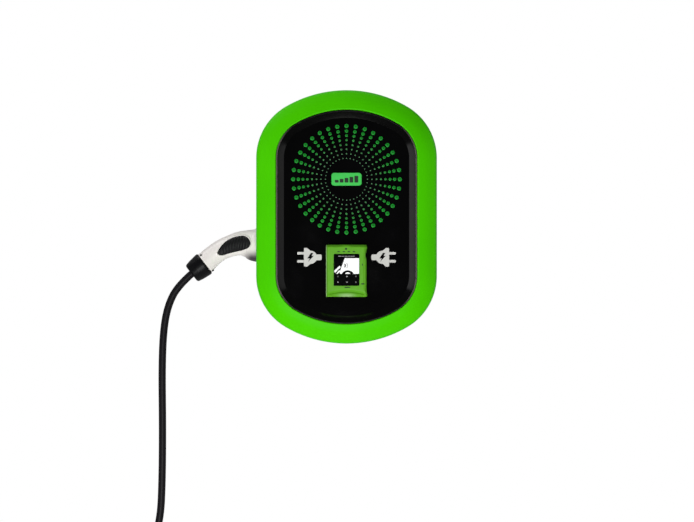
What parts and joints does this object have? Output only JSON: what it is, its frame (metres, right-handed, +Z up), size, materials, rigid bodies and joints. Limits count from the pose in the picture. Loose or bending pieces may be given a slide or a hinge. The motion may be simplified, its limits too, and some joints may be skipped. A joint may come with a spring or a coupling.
{
  "type": "vehicle charging unit",
  "caption": "Wall charging unit for electric vehicles with side sockets under hinged lids, a payment terminal and a plugged-in lead.",
  "frame": {"origin": "centre of the four wall bolts, on the wall plane", "axes": "+Z up, the front faces -Y, +Y points into the wall, +X to the right seen from the front"},
  "size_m": [0.647, 0.184, 1.2745],
  "materials": {
    "green_shell": "satin lime green, moulded, UV stable",
    "housing_grey": "fine grained dark grey moulding",
    "bezel_black": "fine matt black",
    "fascia_gloss": "polished black acrylic",
    "inner_black": "plain moulded black",
    "badge_green": "bright green, lit from behind",
    "light_diffuser": "milky acrylic",
    "circuit_board": "green solder mask",
    "terminal_green": "satin yellow green moulding",
    "screen_glass": "hardened cover glass over a display",
    "galvanised_steel": "galvanised sheet",
    "zinc_screws": "zinc plated",
    "hinge_steel": "ground stainless pin",
    "seal_rubber": "soft moulded rubber",
    "socket_black": "flame retardant black moulding",
    "contact_silver": "silver plated brass",
    "module_grey": "light grey moulding",
    "switch_blue": "blue moulded lever",
    "button_yellow": "yellow moulded button",
    "supply_metal": "perforated sheet case",
    "gland_grey": "moulded grey nylon",
    "plug_white": "warm white satin moulding",
    "grip_rubber": "ribbed soft black rubber",
    "connector_black": "black moulded nose",
    "lead_sheath": "matt black sheath",
    "tie_strap": "woven hook and loop strap"
  },
  "bodies": {
    "root": {"bezel_frame": "bezel_black", "board_standoffs": "zinc_screws", "breaker_left": "module_grey", "breaker_right": "module_grey", "contactor_left": "module_grey", "contactor_right": "module_grey", "controller_board": "circuit_board", "cover_screws": "zinc_screws", "din_rail": "galvanised_steel", "earth_stud": "zinc_screws", "energy_meter": "module_grey", "fascia_panel": "fascia_gloss", "front_shell": "green_shell", "housing_gasket": "seal_rubber", "housing_screws": "zinc_screws", "lid_hinge_pins": "hinge_steel", "light_board": "circuit_board", "light_guide": "light_diffuser", "lock_actuator_left": "inner_black", "lock_actuator_right": "inner_black", "mounting_rails": "galvanised_steel", "power_supply": "supply_metal", "reader_board": "circuit_board", "rear_housing": "housing_grey", "socket_contacts_left": "contact_silver", "socket_contacts_right": "contact_silver", "socket_left": "socket_black", "socket_right": "socket_black", "socket_screws": "zinc_screws", "socket_seals": "seal_rubber", "status_badge": "badge_green", "supply_gland": "gland_grey", "terminal_block": "module_grey", "terminal_glass": "screen_glass", "terminal_housing": "terminal_green", "wall_plate": "galvanised_steel"},
    "plug": {"plug_shroud": "socket_black", "plug_pins": "contact_silver", "plug_handle": "plug_white", "plug_grips": "grip_rubber", "plug_cap": "grip_rubber", "lead_hanging": "lead_sheath", "lead_coil": "lead_sheath", "lead_tail": "lead_sheath", "coil_ties": "tie_strap", "connector_boot": "grip_rubber", "connector_grip": "plug_white", "connector_nose": "connector_black"},
    "lid_left": {"socket_lid_left": "socket_black", "lid_seal_left": "seal_rubber"},
    "lid_right": {"socket_lid_right": "socket_black", "lid_seal_right": "seal_rubber"},
    "bolt_left": {"lock_bolt_left": "hinge_steel"},
    "bolt_right": {"lock_bolt_right": "hinge_steel"},
    "toggle_left": {"breaker_toggle_left": "switch_blue"},
    "toggle_right": {"breaker_toggle_right": "switch_blue"},
    "button_left": {"test_button_left": "button_yellow"},
    "button_right": {"test_button_right": "button_yellow"},
    "carrier_left": {"contactor_carrier_left": "button_yellow"},
    "carrier_right": {"contactor_carrier_right": "button_yellow"}
  },
  "joints": [
    {"name": "plug_pull", "type": "slide", "parent": "root", "child": "plug", "axis": [-1, 0, 0], "range_m": [0, 0.06]},
    {"name": "lid_left_hinge", "type": "hinge", "parent": "root", "child": "lid_left", "pos_m": [-0.18, -0.06, -0.016], "axis": [0, -1, 0], "range_deg": [0, 90]},
    {"name": "lid_right_hinge", "type": "hinge", "parent": "root", "child": "lid_right", "pos_m": [0.18, -0.06, -0.016], "axis": [0, -1, 0], "range_deg": [0, 180]},
    {"name": "bolt_left_slide", "type": "slide", "parent": "root", "child": "bolt_left", "axis": [0, 0, 1], "range_m": [0, 0.0045]},
    {"name": "bolt_right_slide", "type": "slide", "parent": "root", "child": "bolt_right", "axis": [0, 0, 1], "range_m": [0, 0.0045]},
    {"name": "toggle_left_hinge", "type": "hinge", "parent": "root", "child": "toggle_left", "pos_m": [-0.082, -0.086, 0.156], "axis": [1, 0, 0], "range_deg": [0, 40]},
    {"name": "toggle_right_hinge", "type": "hinge", "parent": "root", "child": "toggle_right", "pos_m": [-0.044, -0.086, 0.156], "axis": [1, 0, 0], "range_deg": [0, 40]},
    {"name": "button_left_press", "type": "slide", "parent": "root", "child": "button_left", "axis": [0, 1, 0], "range_m": [0, 0.002], "stiffness_N_per_m": 300},
    {"name": "button_right_press", "type": "slide", "parent": "root", "child": "button_right", "axis": [0, 1, 0], "range_m": [0, 0.002], "stiffness_N_per_m": 300},
    {"name": "carrier_left_pull", "type": "slide", "parent": "root", "child": "carrier_left", "axis": [0, 1, 0], "range_m": [0, 0.0025], "stiffness_N_per_m": 300},
    {"name": "carrier_right_pull", "type": "slide", "parent": "root", "child": "carrier_right", "axis": [0, 1, 0], "range_m": [0, 0.0025], "stiffness_N_per_m": 300}
  ]
}
